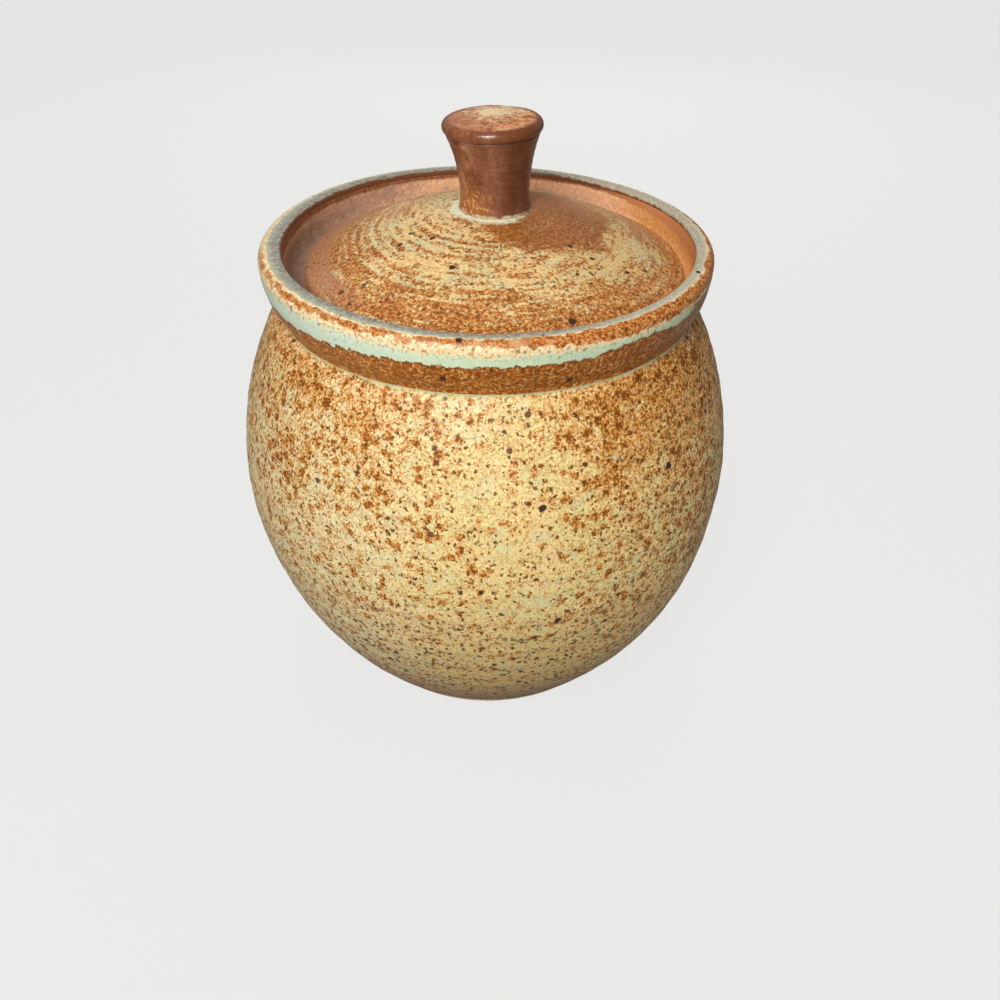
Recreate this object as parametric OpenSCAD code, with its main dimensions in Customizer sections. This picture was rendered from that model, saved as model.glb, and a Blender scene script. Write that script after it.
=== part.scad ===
// Wheel-thrown stoneware jar with a loose domed lid.
// The round body narrows to a crease, a rounded collar stands above it, and a ledge inside the
// collar carries the lid. A waisted knob is luted to the crown of the lid.
// Millimetres. +Z is up, and the origin is the centre of the flat foot on the table.

/* [Body] */
// Radius of the body at its widest
belly_r = 60.3; // [56:0.1:68]
// Height of the widest point above the table
belly_z = 58; // [54:0.5:62]
// Radius of the curve from the widest point down to the foot
lower_curve = 82; // [76:1:95]
// Radius of the curve from the widest point up to the crease
shoulder_curve = 78; // [72:1:95]
// Thickness of the thrown wall
wall = 5; // [4:0.1:6]
// Thickness of the floor
floor_t = 7; // [5:0.5:10]
// Rounding inside, where the floor turns into the wall
floor_fillet = 9; // [4:0.5:14]

/* [Foot] */
// Height of the bare foot below the edge of the glaze
foot_h = 1.6; // [1:0.1:4]
// Step from the body's curve in to the foot
foot_step = 0.5; // [0.3:0.1:2]
// Bevel round the bottom of the foot
foot_bevel = 0.6; // [0.2:0.1:0.9]

/* [Collar] */
// Height of the rim above the table
rim_z = 113; // [110:0.5:118]
// Thickness of the rim, from the wall inside it to the collar's widest line
rim_t = 4.7; // [4:0.1:7]
// Height of the collar, from the rim down to below the crease
collar_h = 14; // [13.5:0.5:16]
// Radius of the collar's swelling below its widest line
collar_curve = 20; // [16:0.5:30]
// Rounding of the rim's outer edge
rim_round = 2; // [1:0.1:2.5]
// Rounding of the rim's inner edge
lip_round = 0.8; // [0.4:0.1:1.2]

/* [Gallery] */
// Radius of the upright wall that the lid sits within
gallery_r = 46.4; // [45:0.1:47]
// Depth of the lid's seat below the rim
gallery_depth = 9; // [8:0.1:10]
// Rounding where the seat turns up into the wall
gallery_fillet = 3.5; // [2:0.1:4]
// Radius of the throat inside the seat
throat_r = 37; // [34:0.5:38]
// Thickness of the ledge at the throat
ledge_t = 4.5; // [3:0.1:6]
// Fall of the ledge's underside towards the wall, in degrees
ledge_angle = 30; // [20:1:45]

/* [Lid] */
// Clearance all round between the lid and the gallery's wall when the lid is centred
lid_play = 3.2; // [2.5:0.1:3.5]
// Share of the clearance that the lid has slid to one side, 0 for a centred lid
lid_lean = 0.55; // [0:0.05:0.8]
// Thickness of the lid's rounded edge
edge_t = 4.4; // [3:0.1:5]
// Radius of the dome's curve
dome_curve = 108; // [95:1:130]
// Distance of the dome's centre of curvature behind the axis
dome_setback = 10.7; // [6:0.1:14]
// Thickness of the dome
lid_wall = 4.6; // [3.5:0.1:5.5]
// Width of the flat ring under the edge
bearing_w = 6; // [5:0.1:7]

/* [Knob] */
// Radius of the knob where it meets the lid
knob_foot_r = 8.1; // [7:0.1:10]
// Radius of the knob at its waist
knob_waist_r = 7.7; // [6:0.1:8]
// Height of the waist above the lid
knob_waist_z = 3; // [2:0.1:5]
// Radius of the hollow curve from the waist up to the cap
knob_curve = 36; // [30:1:60]
// Height of the knob up to the shoulder of its cap
knob_h = 19; // [16:0.5:24]
// Radius of the cap
cap_r = 10.8; // [10:0.1:13]
// Rounding of the cap's edge
cap_round = 1.3; // [0.8:0.1:1.8]
// Rise of the top of the cap at its centre
cap_rise = 0.6; // [0.2:0.1:1.5]

/* [Hidden] */
$fn = 180;

// Centre of each of the body's two curves, to the far side of the axis
lower_c = [belly_r - lower_curve, belly_z];
shoulder_c = [belly_r - shoulder_curve, belly_z];
// Radius of the body where the foot begins
foot_top_r = lower_c.x + sqrt(pow(lower_curve, 2) - pow(belly_z - foot_h, 2));
foot_r = foot_top_r - foot_step;
// Centre of the rounding between floor and wall, which touches both, and the way from the wall's centre to it
fillet_z = floor_t + floor_fillet;
fillet_reach = lower_curve - wall - floor_fillet;
fillet_c = [lower_c.x + sqrt(pow(fillet_reach, 2) - pow(belly_z - fillet_z, 2)), fillet_z];
fillet_way = (fillet_c - lower_c) / fillet_reach;
// Widest radius of the collar and its level, and the level of the lid's seat
collar_r = gallery_r + rim_t;
collar_z = rim_z - rim_round;
seat_z = rim_z - gallery_depth;
ledge_z = seat_z - ledge_t;
// Lid: outer radius, half the edge's thickness, and how far it stands off the axis
edge_round = edge_t / 2;
lid_r = gallery_r - lid_play;
lid_shift = lid_play * lid_lean;
edge_c = [lid_r - edge_round, seat_z + edge_round];
// Centre of the dome's curve, placed so that the curve runs smoothly into the rounded edge
dome_reach = dome_curve - edge_round;
dome_c = [-dome_setback, edge_c.y - sqrt(pow(dome_reach, 2) - pow(edge_c.x + dome_setback, 2))];
dome_way = (edge_c - dome_c) / dome_reach;
bearing_in_r = edge_c.x - bearing_w;
// Level of the flat on the crown that carries the knob, as wide as the knob's foot
crown_z = dome_c.y + sqrt(pow(dome_curve, 2) - pow(knob_foot_r + dome_setback, 2));
// Radius of the short curve from the knob's waist down to its foot
knob_flare = knob_foot_r - knob_waist_r;
flare_curve = (pow(knob_waist_z, 2) + pow(knob_flare, 2)) / (2 * knob_flare);
// Radius of the curve over the top of the cap
cap_flat_r = cap_r - cap_round;
cap_curve = (pow(cap_flat_r, 2) + pow(cap_rise, 2)) / (2 * cap_rise);
// Overrun that carries a cut past a face
over = 1;

// Half outline of the body between two levels, drawn in from its outside by the inset
module globe(inset, bottom, top) {
    intersection() {
        translate(lower_c) circle(lower_curve - inset);
        translate([0, bottom]) square([belly_r, belly_z - bottom]);
    }
    intersection() {
        translate(shoulder_c) circle(shoulder_curve - inset);
        translate([0, belly_z]) square([belly_r, top - belly_z]);
    }
}

// Half outline of the foot, with a bevel at the table
module foot() {
    polygon([
        [0, 0],
        [foot_r - foot_bevel, 0],
        [foot_r, foot_bevel],
        [foot_r, foot_h],
        [0, foot_h]
    ]);
}

// Half outline of the collar: a long swelling curve below its widest line, a small round above it
module collar() {
    intersection() {
        translate([collar_r - collar_curve, collar_z]) circle(collar_curve);
        translate([0, rim_z - collar_h]) square([collar_r, collar_h - rim_round]);
    }
    intersection() {
        translate([collar_r - rim_round, collar_z]) circle(rim_round);
        translate([0, collar_z]) square([collar_r, rim_round]);
    }
    translate([0, collar_z]) square([collar_r - rim_round, rim_round]);
}

// Half outline of the hollow inside, with a rounded corner at the floor, up to the ledge's underside
module cavity() {
    intersection() {
        union() {
            difference() {
                globe(wall, floor_t, seat_z);
                polygon([
                    fillet_c,
                    fillet_c + 3 * floor_fillet * fillet_way,
                    [fillet_c.x + 3 * floor_fillet, -floor_fillet],
                    [fillet_c.x, -floor_fillet]
                ]);
            }
            translate(fillet_c) circle(floor_fillet);
        }
        polygon([
            [0, 0],
            [belly_r, 0],
            [belly_r, ledge_z - (belly_r - throat_r) * tan(ledge_angle)],
            [throat_r, ledge_z],
            [0, ledge_z]
        ]);
    }
}

// Half outline of the mouth: throat, seat with its rounded corner, upright wall and rounded inner lip
module mouth() {
    corner_c = [gallery_r - gallery_fillet, seat_z + gallery_fillet];
    translate([0, ledge_z - over]) square([throat_r, ledge_t + 2 * over]);
    translate([0, seat_z]) square([corner_c.x, gallery_fillet]);
    intersection() {
        translate(corner_c) circle(gallery_fillet);
        translate([0, seat_z]) square([gallery_r, gallery_fillet]);
    }
    translate([0, corner_c.y]) square([gallery_r, rim_z + over - corner_c.y]);
    difference() {
        translate([0, rim_z - lip_round]) square([gallery_r + lip_round, lip_round + over]);
        translate([gallery_r + lip_round, rim_z - lip_round]) circle(lip_round);
    }
}

// The jar itself, from the foot to the rim
module vessel() {
    color("darkkhaki")
    rotate_extrude() difference() {
        union() {
            globe(0, foot_h, rim_z - collar_h + over);
            foot();
            collar();
        }
        cavity();
        mouth();
    }
}

// The lid: a domed disc with a rounded edge, hollow beneath, with a flat on its crown
module lid() {
    color("peru")
    translate([lid_shift, 0, 0]) rotate_extrude() difference() {
        union() {
            intersection() {
                translate(dome_c) circle(dome_curve);
                polygon([
                    [0, edge_c.y],
                    edge_c,
                    edge_c + edge_t * dome_way,
                    [edge_c.x, crown_z],
                    [0, crown_z]
                ]);
            }
            translate(edge_c) circle(edge_round);
            translate([0, seat_z]) square([edge_c.x, edge_round]);
        }
        intersection() {
            translate(dome_c) circle(dome_curve - lid_wall);
            translate([0, seat_z - over]) square([bearing_in_r, crown_z - lid_wall - seat_z + over]);
        }
    }
}

// The knob: a waisted stem under a rounded cap, standing on the crown's flat
module knob() {
    color("saddlebrown")
    translate([lid_shift, 0, crown_z]) rotate_extrude() {
        difference() {
            polygon([
                [0, 0],
                [knob_foot_r, 0],
                [knob_foot_r, knob_waist_z],
                [cap_flat_r, knob_waist_z],
                [cap_flat_r, knob_h - cap_round],
                [0, knob_h - cap_round]
            ]);
            intersection() {
                translate([knob_waist_r + flare_curve, knob_waist_z]) circle(flare_curve);
                square([cap_r, knob_waist_z]);
            }
            intersection() {
                translate([knob_waist_r + knob_curve, knob_waist_z]) circle(knob_curve);
                translate([0, knob_waist_z]) square([cap_r, knob_h]);
            }
        }
        intersection() {
            translate([cap_flat_r, knob_h - cap_round]) circle(cap_round);
            translate([0, knob_h - 2 * cap_round]) square([cap_r, 2 * cap_round]);
        }
        translate([0, knob_h - cap_round]) square([cap_flat_r, cap_round]);
        intersection() {
            translate([0, knob_h + cap_rise - cap_curve]) circle(cap_curve);
            translate([0, knob_h]) square([cap_flat_r, cap_rise]);
        }
    }
}

vessel();
lid();
knob();
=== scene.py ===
import math

import bpy
import numpy as np
from mathutils import Matrix, Vector


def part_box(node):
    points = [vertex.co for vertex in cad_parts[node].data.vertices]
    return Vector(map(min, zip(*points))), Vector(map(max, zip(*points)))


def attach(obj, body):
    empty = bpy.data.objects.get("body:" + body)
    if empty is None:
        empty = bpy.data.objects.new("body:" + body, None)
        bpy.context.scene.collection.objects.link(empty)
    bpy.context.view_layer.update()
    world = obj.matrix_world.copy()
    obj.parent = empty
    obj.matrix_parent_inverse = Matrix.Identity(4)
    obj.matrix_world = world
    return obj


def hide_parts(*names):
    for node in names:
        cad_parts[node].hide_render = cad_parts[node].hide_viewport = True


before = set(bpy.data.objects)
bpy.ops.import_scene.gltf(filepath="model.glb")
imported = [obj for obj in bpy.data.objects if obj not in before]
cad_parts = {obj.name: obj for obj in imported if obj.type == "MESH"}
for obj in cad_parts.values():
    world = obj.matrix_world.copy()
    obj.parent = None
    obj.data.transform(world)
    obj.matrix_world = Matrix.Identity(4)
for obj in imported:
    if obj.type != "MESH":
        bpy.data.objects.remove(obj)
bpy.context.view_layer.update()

MM = 0.001
TURN = 2 * math.pi

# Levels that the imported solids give, in millimetres
RIM_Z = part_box("vessel")[1].z / MM
SEAT_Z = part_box("lid")[0].z / MM
CROWN_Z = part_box("knob")[0].z / MM
LID_SHIFT = (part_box("knob")[0].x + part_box("knob")[1].x) / 2 / MM

# Sizes of the jar in millimetres
BELLY_R = 60.3
BELLY_Z = 58.0
LOWER_CURVE = 82.0
SHOULDER_CURVE = 78.0
WALL = 5.0
FLOOR = 7.0
FLOOR_FILLET = 9.0
FOOT_H = 1.6
FOOT_STEP = 0.5
FOOT_BEVEL = 0.6
GLAZE_EDGE = 0.3
COLLAR_R = 51.1
COLLAR_CURVE = 20.0
RIM_ROUND = 2.0
LIP_ROUND = 0.8
GALLERY_R = 46.4
GALLERY_FILLET = 3.5
THROAT_R = 37.0
THROAT_ROUND = 1.0
LEDGE = 4.5
LEDGE_ANGLE = 30.0
LID_R = 43.2
EDGE = 4.4
DOME_CURVE = 108.0
DOME_SETBACK = 10.7
LID_WALL = 4.6
BEARING = 6.0
KNOB_FOOT_R = 8.1
KNOB_WAIST_R = 7.7
KNOB_WAIST_Z = 3.0
KNOB_CURVE = 36.0
KNOB_H = 19.0
CAP_R = 10.8
CAP_ROUND = 1.3
CAP_RISE = 0.6
CAP_SINK = 0.05
LIP_UNDER = 1.0
LIP_OVER = 1.6
LIP_LEAN = 60.0
LIP_GROOVE = 0.2

# Marks of the hand on the vessel in millimetres: throwing rings, unevenness, crease, shifts and waves
LONG_RING_PITCH = 6.1
LONG_RING_DEPTH = 0.05
SHORT_RING_PITCH = 3.7
SHORT_RING_DEPTH = 0.03
BODY_UNEVEN = 0.09
BODY_INSET = 0.26
COLLAR_UNEVEN = 0.07
CREASE_EASE = 2.2
CREASE_WIDTH = 2.6
CREASE_CUT = 0.15
CREASE_CUT_LEFT = 1.2
CREASE_DROP_LEFT = 0.9
LOW_SHIFT = 0.75
LIP_SHIFT = 0.6
RIM_WAVE_TWO = 0.16
RIM_WAVE_THREE = 0.1
# The same on the lid and the knob
DOME_PITCH = 2.3
DOME_CROSS_PITCH = 3.9
DOME_CROSS_SHARE = 0.6
DOME_RING_DEPTH = 0.022
DOME_RING_UNEVEN = 0.014
DOME_UNEVEN = 0.08
DOME_INSET = 0.12
STEM_PITCH = 1.6
STEM_RING_DEPTH = 0.025
STEM_UNEVEN = 0.06
STEM_INSET = 0.04
CAP_UNEVEN = 0.08
CAP_TILT = 0.035
CAP_DROP = 0.1
KNOB_LEAN = 0.85

# Steps round the axis
JAR_SEGMENTS = 288
KNOB_SEGMENTS = 192


# Outlines are points in a half plane, radius first and height second

def line(a, b, step):
    """Points from a to b along a straight line, about a step apart."""
    count = max(2, int(math.dist(a, b) / step) + 1)
    return np.linspace(a, b, count)


def arc(centre, radius, start, end, step):
    """Points on a circle about the centre, from one angle to another in degrees, about a step apart."""
    count = max(3, int(abs(math.radians(end - start)) * radius / step) + 1)
    angle = np.radians(np.linspace(start, end, count))
    return np.stack([centre[0] + radius * np.cos(angle), centre[1] + radius * np.sin(angle)], 1)


def angle_at(centre, point):
    """Direction from a centre to a point, in degrees."""
    return math.degrees(math.atan2(point[1] - centre[1], point[0] - centre[0]))


def level_on(centre, radius, height):
    """The outer point of a circle at a height."""
    return (centre[0] + math.sqrt(radius ** 2 - (height - centre[1]) ** 2), height)


def crossing(centre_a, radius_a, centre_b, radius_b):
    """The outer of the two points where two circles cross."""
    a, b = Vector(centre_a), Vector(centre_b)
    way = (b - a).normalized()
    apart = (b - a).length
    reach = (apart ** 2 + radius_a ** 2 - radius_b ** 2) / (2 * apart)
    middle = a + reach * way
    aside = math.sqrt(radius_a ** 2 - reach ** 2) * Vector((-way.y, way.x))
    return tuple(max(middle + aside, middle - aside, key=lambda end: end.x))


def joined(stretches):
    """One outline from (zone, points) stretches laid end to end, with the zone of every point."""
    points = np.concatenate([p for _, p in stretches])
    zones = np.concatenate([np.full(len(p), zone) for zone, p in stretches])
    keep = np.append(True, np.linalg.norm(np.diff(points, axis=0), axis=1) > 1e-4)
    return points[keep], zones[keep]


def run_of(outline):
    """Distance of every outline point from the first, along the outline."""
    return np.append(0, np.cumsum(np.linalg.norm(np.diff(outline, axis=0), axis=1)))


def softened(outline, middle, reach, rounds):
    """The outline with its corner at a middle point eased: near it each point moves to the mean of its
    neighbours, fully at the corner and not at all at the reach."""
    eased = outline.copy()
    share = np.clip(1 - np.linalg.norm(outline - middle, axis=1) / reach, 0, 1)[1:-1, None]
    for _ in range(rounds):
        mean = (eased[:-2] + eased[2:]) / 2
        eased[1:-1] += share * (mean - eased[1:-1])
    return eased


def ease(value, low, high):
    """Smooth step from 0 at low to 1 at high."""
    t = np.clip((value - low) / (high - low), 0, 1)
    return t * t * (3 - 2 * t)


def wander(angle, along, seed, pitch, waves=6):
    """A slow uneven field on a turned surface, about -1 to 1: the sum of waves round the axis whose phase
    drifts along the outline."""
    draw = np.random.default_rng(seed)
    total = 0.0
    for turns in range(1, waves + 1):
        phase = draw.uniform(0, TURN, 3)
        drift = draw.uniform(0.5, 1.5) * TURN / pitch * along
        swing = 0.8 * np.sin(drift + phase[0])
        total = total + np.cos(turns * angle + swing + phase[1]) * np.cos(drift + phase[2])
    return total / math.sqrt(waves)


def turned(name, outline, zones, band, count, relief, materials):
    """A closed surface of revolution: each outline point is carried round the axis in count steps.
    relief(angle, radius, height, band, zone) gives its push along the outline's normal and its shift across
    and up, in millimetres. Both ends of the outline lie on the axis and close with a fan of triangles. The
    attribute turn holds the cosine and sine of the way round and the band, which is the distance along the
    outline from a chosen line."""
    tangent = np.gradient(outline, run_of(outline), axis=0)
    tangent /= np.linalg.norm(tangent, axis=1, keepdims=True)
    normal = np.stack([tangent[:, 1], -tangent[:, 0]], 1)
    angle = np.linspace(0, TURN, count, endpoint=False)[None, :]
    radius, height = outline[:, :1], outline[:, 1:]
    push, across, up = relief(angle, radius, height, band[:, None], zones[:, None])
    reach = radius + push * normal[:, :1]
    x = reach * np.cos(angle) + across
    y = reach * np.sin(angle)
    z = height + push * normal[:, 1:] + up
    grid = np.stack(np.broadcast_arrays(x, y, z), -1) * MM
    rows = len(outline) - 2
    ends = grid[[0, -1]].mean(1)
    points = np.concatenate([ends[:1], grid[1:-1].reshape(-1, 3), ends[1:]])
    place = 1 + np.arange(rows * count).reshape(rows, count)
    ahead = np.roll(place, -1, 1)
    quads = np.stack([place[:-1], ahead[:-1], ahead[1:], place[1:]], -1).reshape(-1, 4)
    first = np.stack([np.zeros(count, int), ahead[0], place[0]], -1)
    last = np.stack([np.full(count, len(points) - 1), place[-1], ahead[-1]], -1)
    mesh = bpy.data.meshes.new(name)
    mesh.from_pydata(points.tolist(), [], first.tolist() + quads.tolist() + last.tolist())
    for material in materials:
        mesh.materials.append(material)
    face_zone = np.repeat(np.concatenate([zones[1:2], zones[1:-2], zones[-2:-1]]), count)
    mesh.polygons.foreach_set("material_index", face_zone.astype(np.int32))
    mesh.polygons.foreach_set("use_smooth", np.ones(len(face_zone), bool))
    turn = np.stack(np.broadcast_arrays(np.cos(angle), np.sin(angle), band[:, None]), -1)
    flat = np.concatenate([[[0, 0, band[0]]], turn[1:-1].reshape(-1, 3), [[0, 0, band[-1]]]])
    held = mesh.attributes.new("turn", "FLOAT_VECTOR", "POINT")
    held.data.foreach_set("vector", flat.astype(np.float32).ravel())
    mesh.validate()
    mesh.update()
    piece = bpy.data.objects.new(name, mesh)
    bpy.context.scene.collection.objects.link(piece)
    return piece


# Zones of the vessel's outline, which are also its material slots
BARE, BODY, COLLAR, GALLERY, INSIDE = range(5)
LOWER_C = (BELLY_R - LOWER_CURVE, BELLY_Z)
SHOULDER_C = (BELLY_R - SHOULDER_CURVE, BELLY_Z)
COLLAR_C = (COLLAR_R - COLLAR_CURVE, RIM_Z - RIM_ROUND)
CREASE = crossing(SHOULDER_C, SHOULDER_CURVE, COLLAR_C, COLLAR_CURVE)


def vessel_outline():
    """From the middle of the base out over the foot, up the body's two curves to the crease, over the collar
    and rim, down the gallery's wall to the seat, through the throat and down the inside to the middle of the
    floor. The band counts from the crease."""
    foot_top = level_on(LOWER_C, LOWER_CURVE, FOOT_H + GLAZE_EDGE)
    foot_r = level_on(LOWER_C, LOWER_CURVE, FOOT_H)[0] - FOOT_STEP
    rim_c = (COLLAR_R - RIM_ROUND, RIM_Z - RIM_ROUND)
    lip_c = (GALLERY_R + LIP_ROUND, RIM_Z - LIP_ROUND)
    seat_c = (GALLERY_R - GALLERY_FILLET, SEAT_Z + GALLERY_FILLET)
    throat_c = (THROAT_R + THROAT_ROUND, SEAT_Z - THROAT_ROUND)
    ledge = (THROAT_R, SEAT_Z - LEDGE)
    fillet_z = FLOOR + FLOOR_FILLET
    fillet_c = level_on(LOWER_C, LOWER_CURVE - WALL - FLOOR_FILLET, fillet_z)
    fillet_angle = angle_at(LOWER_C, fillet_c)
    inner = SHOULDER_CURVE - WALL
    slope = math.radians(-LEDGE_ANGLE)
    way = Vector((math.cos(slope), math.sin(slope)))
    start = Vector(ledge) - Vector(SHOULDER_C)
    reach = -start.dot(way) + math.sqrt(start.dot(way) ** 2 - start.length_squared + inner ** 2)
    ledge_end = (ledge[0] + reach * way.x, ledge[1] + reach * way.y)
    points, zones = joined([
        (BARE, line((0, 0), (foot_r - FOOT_BEVEL, 0), 5)),
        (BARE, line((foot_r - FOOT_BEVEL, 0), (foot_r, FOOT_BEVEL), 0.3)),
        (BARE, line((foot_r, FOOT_BEVEL), (foot_r, FOOT_H), 0.3)),
        (BODY, line((foot_r, FOOT_H), foot_top, 0.25)),
        (BODY, arc(LOWER_C, LOWER_CURVE, angle_at(LOWER_C, foot_top), 0, 0.9)),
        (BODY, arc(SHOULDER_C, SHOULDER_CURVE, 0, angle_at(SHOULDER_C, CREASE), 0.7)),
        (COLLAR, arc(COLLAR_C, COLLAR_CURVE, angle_at(COLLAR_C, CREASE), 0, 0.3)),
        (COLLAR, arc(rim_c, RIM_ROUND, 0, 90, 0.2)),
        (COLLAR, line((rim_c[0], RIM_Z), (lip_c[0], RIM_Z), 0.3)),
        (COLLAR, arc(lip_c, LIP_ROUND, 90, 180, 0.2)),
        (GALLERY, line((GALLERY_R, lip_c[1]), (GALLERY_R, seat_c[1]), 0.4)),
        (GALLERY, arc(seat_c, GALLERY_FILLET, 0, -90, 0.35)),
        (GALLERY, line((seat_c[0], SEAT_Z), (throat_c[0], SEAT_Z), 0.6)),
        (INSIDE, arc(throat_c, THROAT_ROUND, 90, 180, 0.3)),
        (INSIDE, line((THROAT_R, throat_c[1]), ledge, 0.8)),
        (INSIDE, line(ledge, ledge_end, 1.5)),
        (INSIDE, arc(SHOULDER_C, inner, angle_at(SHOULDER_C, ledge_end), 0, 2.5)),
        (INSIDE, arc(LOWER_C, LOWER_CURVE - WALL, 0, fillet_angle, 2.5)),
        (INSIDE, arc(fillet_c, FLOOR_FILLET, fillet_angle, -90, 1.5)),
        (INSIDE, line((fillet_c[0], FLOOR), (0, FLOOR), 4)),
    ])
    along = run_of(points)
    crease = along[np.argmin(np.linalg.norm(points - CREASE, axis=1))]
    return softened(points, CREASE, CREASE_EASE, 6), zones, along - crease


def vessel_relief(angle, radius, height, band, zone):
    """Throwing rings up the body, a lower body that stands a little to one side, a crease cut deeper at the
    left, a rim that waves in height and an inner lip that is not quite round with the outer one."""
    outside = (zone == BODY) | (zone == COLLAR)
    mouth = (zone == COLLAR) | (zone == GALLERY)
    body = (zone == BODY) * ease(height, 3, 8)
    left = np.clip(-np.cos(angle), 0, 1) ** 2
    crease = np.exp(-(band / CREASE_WIDTH) ** 2)
    rings = LONG_RING_DEPTH * np.sin(TURN * band / LONG_RING_PITCH + angle)
    rings = rings + SHORT_RING_DEPTH * np.sin(TURN * band / SHORT_RING_PITCH - np.sin(angle) + 1.3)
    push = body * (rings + BODY_UNEVEN * wander(angle, band, 3, 30) - BODY_INSET)
    push = push - outside * crease * (CREASE_CUT + CREASE_CUT_LEFT * left)
    push = push + (zone == COLLAR) * COLLAR_UNEVEN * wander(angle, band, 5, 9)
    low = (zone <= BODY) * ease(height, 54, 22)
    lip = mouth * ease(radius, 49.2, 47.2) * ease(height, 103, 106)
    across = LOW_SHIFT * low + LIP_SHIFT * lip
    waves = RIM_WAVE_TWO * np.cos(2 * angle + 0.8) + RIM_WAVE_THREE * np.cos(3 * angle - 0.5)
    up = mouth * ease(height, 104, 111.5) * waves - crease * outside * CREASE_DROP_LEFT * left
    return push, across, up


# Zones of the lid's outline, which are also its material slots
DOME, UNDERSIDE = range(2)


def lid_outline():
    """From the middle of the hollow's ceiling down under the dome to the bearing ring, round the edge, and
    up over the dome to the middle of the crown, where the band counts from."""
    edge_round = EDGE / 2
    edge_c = (LID_R - edge_round, SEAT_Z + edge_round)
    rise = math.sqrt((DOME_CURVE - edge_round) ** 2 - (edge_c[0] + DOME_SETBACK) ** 2)
    dome_c = (-DOME_SETBACK, edge_c[1] - rise)
    crown = (KNOB_FOOT_R, CROWN_Z)
    inner = DOME_CURVE - LID_WALL
    ceiling = level_on(dome_c, inner, CROWN_Z - LID_WALL)
    bearing_r = edge_c[0] - BEARING
    hollow_angle = math.degrees(math.acos((bearing_r - dome_c[0]) / inner))
    hollow_z = dome_c[1] + inner * math.sin(math.radians(hollow_angle))
    points, zones = joined([
        (UNDERSIDE, line((0, ceiling[1]), ceiling, 2)),
        (UNDERSIDE, arc(dome_c, inner, angle_at(dome_c, ceiling), hollow_angle, 2)),
        (UNDERSIDE, line((bearing_r, hollow_z), (bearing_r, SEAT_Z), 1)),
        (UNDERSIDE, line((bearing_r, SEAT_Z), (edge_c[0], SEAT_Z), 1)),
        (DOME, arc(edge_c, edge_round, -90, angle_at(dome_c, edge_c), 0.3)),
        (DOME, arc(dome_c, DOME_CURVE, angle_at(dome_c, edge_c), angle_at(dome_c, crown), 0.22)),
        (DOME, line(crown, (0, CROWN_Z), 2)),
    ])
    along = run_of(points)
    return points, zones, along[-1] - along


def lid_relief(angle, radius, height, band, zone):
    """A shallow spiral of throwing rings over the dome, uneven in depth, fading at the knob and the edge."""
    top = (zone == DOME) * ease(radius, 9, 12) * ease(radius, 42.5, 38)
    spiral = np.sin(TURN * band / DOME_PITCH + angle)
    spiral = spiral + DOME_CROSS_SHARE * np.sin(TURN * band / DOME_CROSS_PITCH - angle + 1.0)
    depth = DOME_RING_DEPTH + DOME_RING_UNEVEN * wander(angle, band, 8, 14)
    push = top * (depth * spiral + DOME_UNEVEN * wander(angle, band, 9, 40) - DOME_INSET)
    return push, LID_SHIFT, 0 * push


def knob_outline():
    """From the middle of the foot out, up the waisted stem, round the cap's leaning lip and over its low
    crown. The band counts from the foot's edge."""
    flare = KNOB_FOOT_R - KNOB_WAIST_R
    flare_curve = (KNOB_WAIST_Z ** 2 + flare ** 2) / (2 * flare)
    flat_r = CAP_R - CAP_ROUND
    cap_curve = (flat_r ** 2 + CAP_RISE ** 2) / (2 * CAP_RISE)
    cap_z = KNOB_H - 2 * CAP_ROUND
    flare_c = (KNOB_WAIST_R + flare_curve, KNOB_WAIST_Z)
    stem_c = (KNOB_WAIST_R + KNOB_CURVE, KNOB_WAIST_Z)
    under_c = (CAP_R - LIP_UNDER, cap_z + LIP_UNDER)
    over_c = (CAP_R - LIP_OVER, KNOB_H - CAP_SINK - LIP_OVER * math.sin(math.radians(LIP_LEAN)))
    stem_top_z = cap_z + LIP_GROOVE
    stem_top = (stem_c[0] - math.sqrt(KNOB_CURVE ** 2 - (stem_top_z - stem_c[1]) ** 2), stem_top_z)
    crown_c = (0, KNOB_H + CAP_RISE - cap_curve)
    points, zones = joined([
        (0, line((0, 0), (KNOB_FOOT_R, 0), 2)),
        (0, arc(flare_c, flare_curve, angle_at(flare_c, (KNOB_FOOT_R, 0)) % 360, 180, 0.3)),
        (0, arc(stem_c, KNOB_CURVE, 180, angle_at(stem_c, stem_top) % 360, 0.3)),
        (0, arc(under_c, LIP_UNDER, -80, 0, 0.15)),
        (0, line((CAP_R, under_c[1]), (CAP_R, over_c[1]), 0.15)),
        (0, arc(over_c, LIP_OVER, 0, LIP_LEAN, 0.12)),
        (0, arc(crown_c, cap_curve, angle_at(crown_c, (flat_r, KNOB_H)), 90, 0.4)),
    ])
    points = softened(points, stem_top, 0.7, 2)
    along = run_of(points)
    return points + (0, CROWN_Z), zones, along - KNOB_FOOT_R


def knob_relief(angle, radius, height, band, zone):
    """Fine turning lines round the stem, and a lean to the left that grows from the foot to the cap."""
    rise = (height - CROWN_Z) / KNOB_H
    stem = ease(rise, 0.05, 0.15) * ease(rise, 0.98, 0.8)
    lines = STEM_RING_DEPTH * np.sin(TURN * band / STEM_PITCH + angle)
    push = stem * (lines + STEM_UNEVEN * wander(angle, band, 12, 12) - STEM_INSET)
    rim = ease(rise, 0.8, 0.95) * ease(radius, 9, 10)
    push = push + rim * CAP_UNEVEN * wander(angle, band, 13, 30, 8)
    across = LID_SHIFT - KNOB_LEAN * ease(rise, 0.0, 1.3)
    up = (CAP_TILT * radius * np.cos(angle) - CAP_DROP) * ease(rise, 0.2, 1.0)
    return push, across, up


# Finishes

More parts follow.
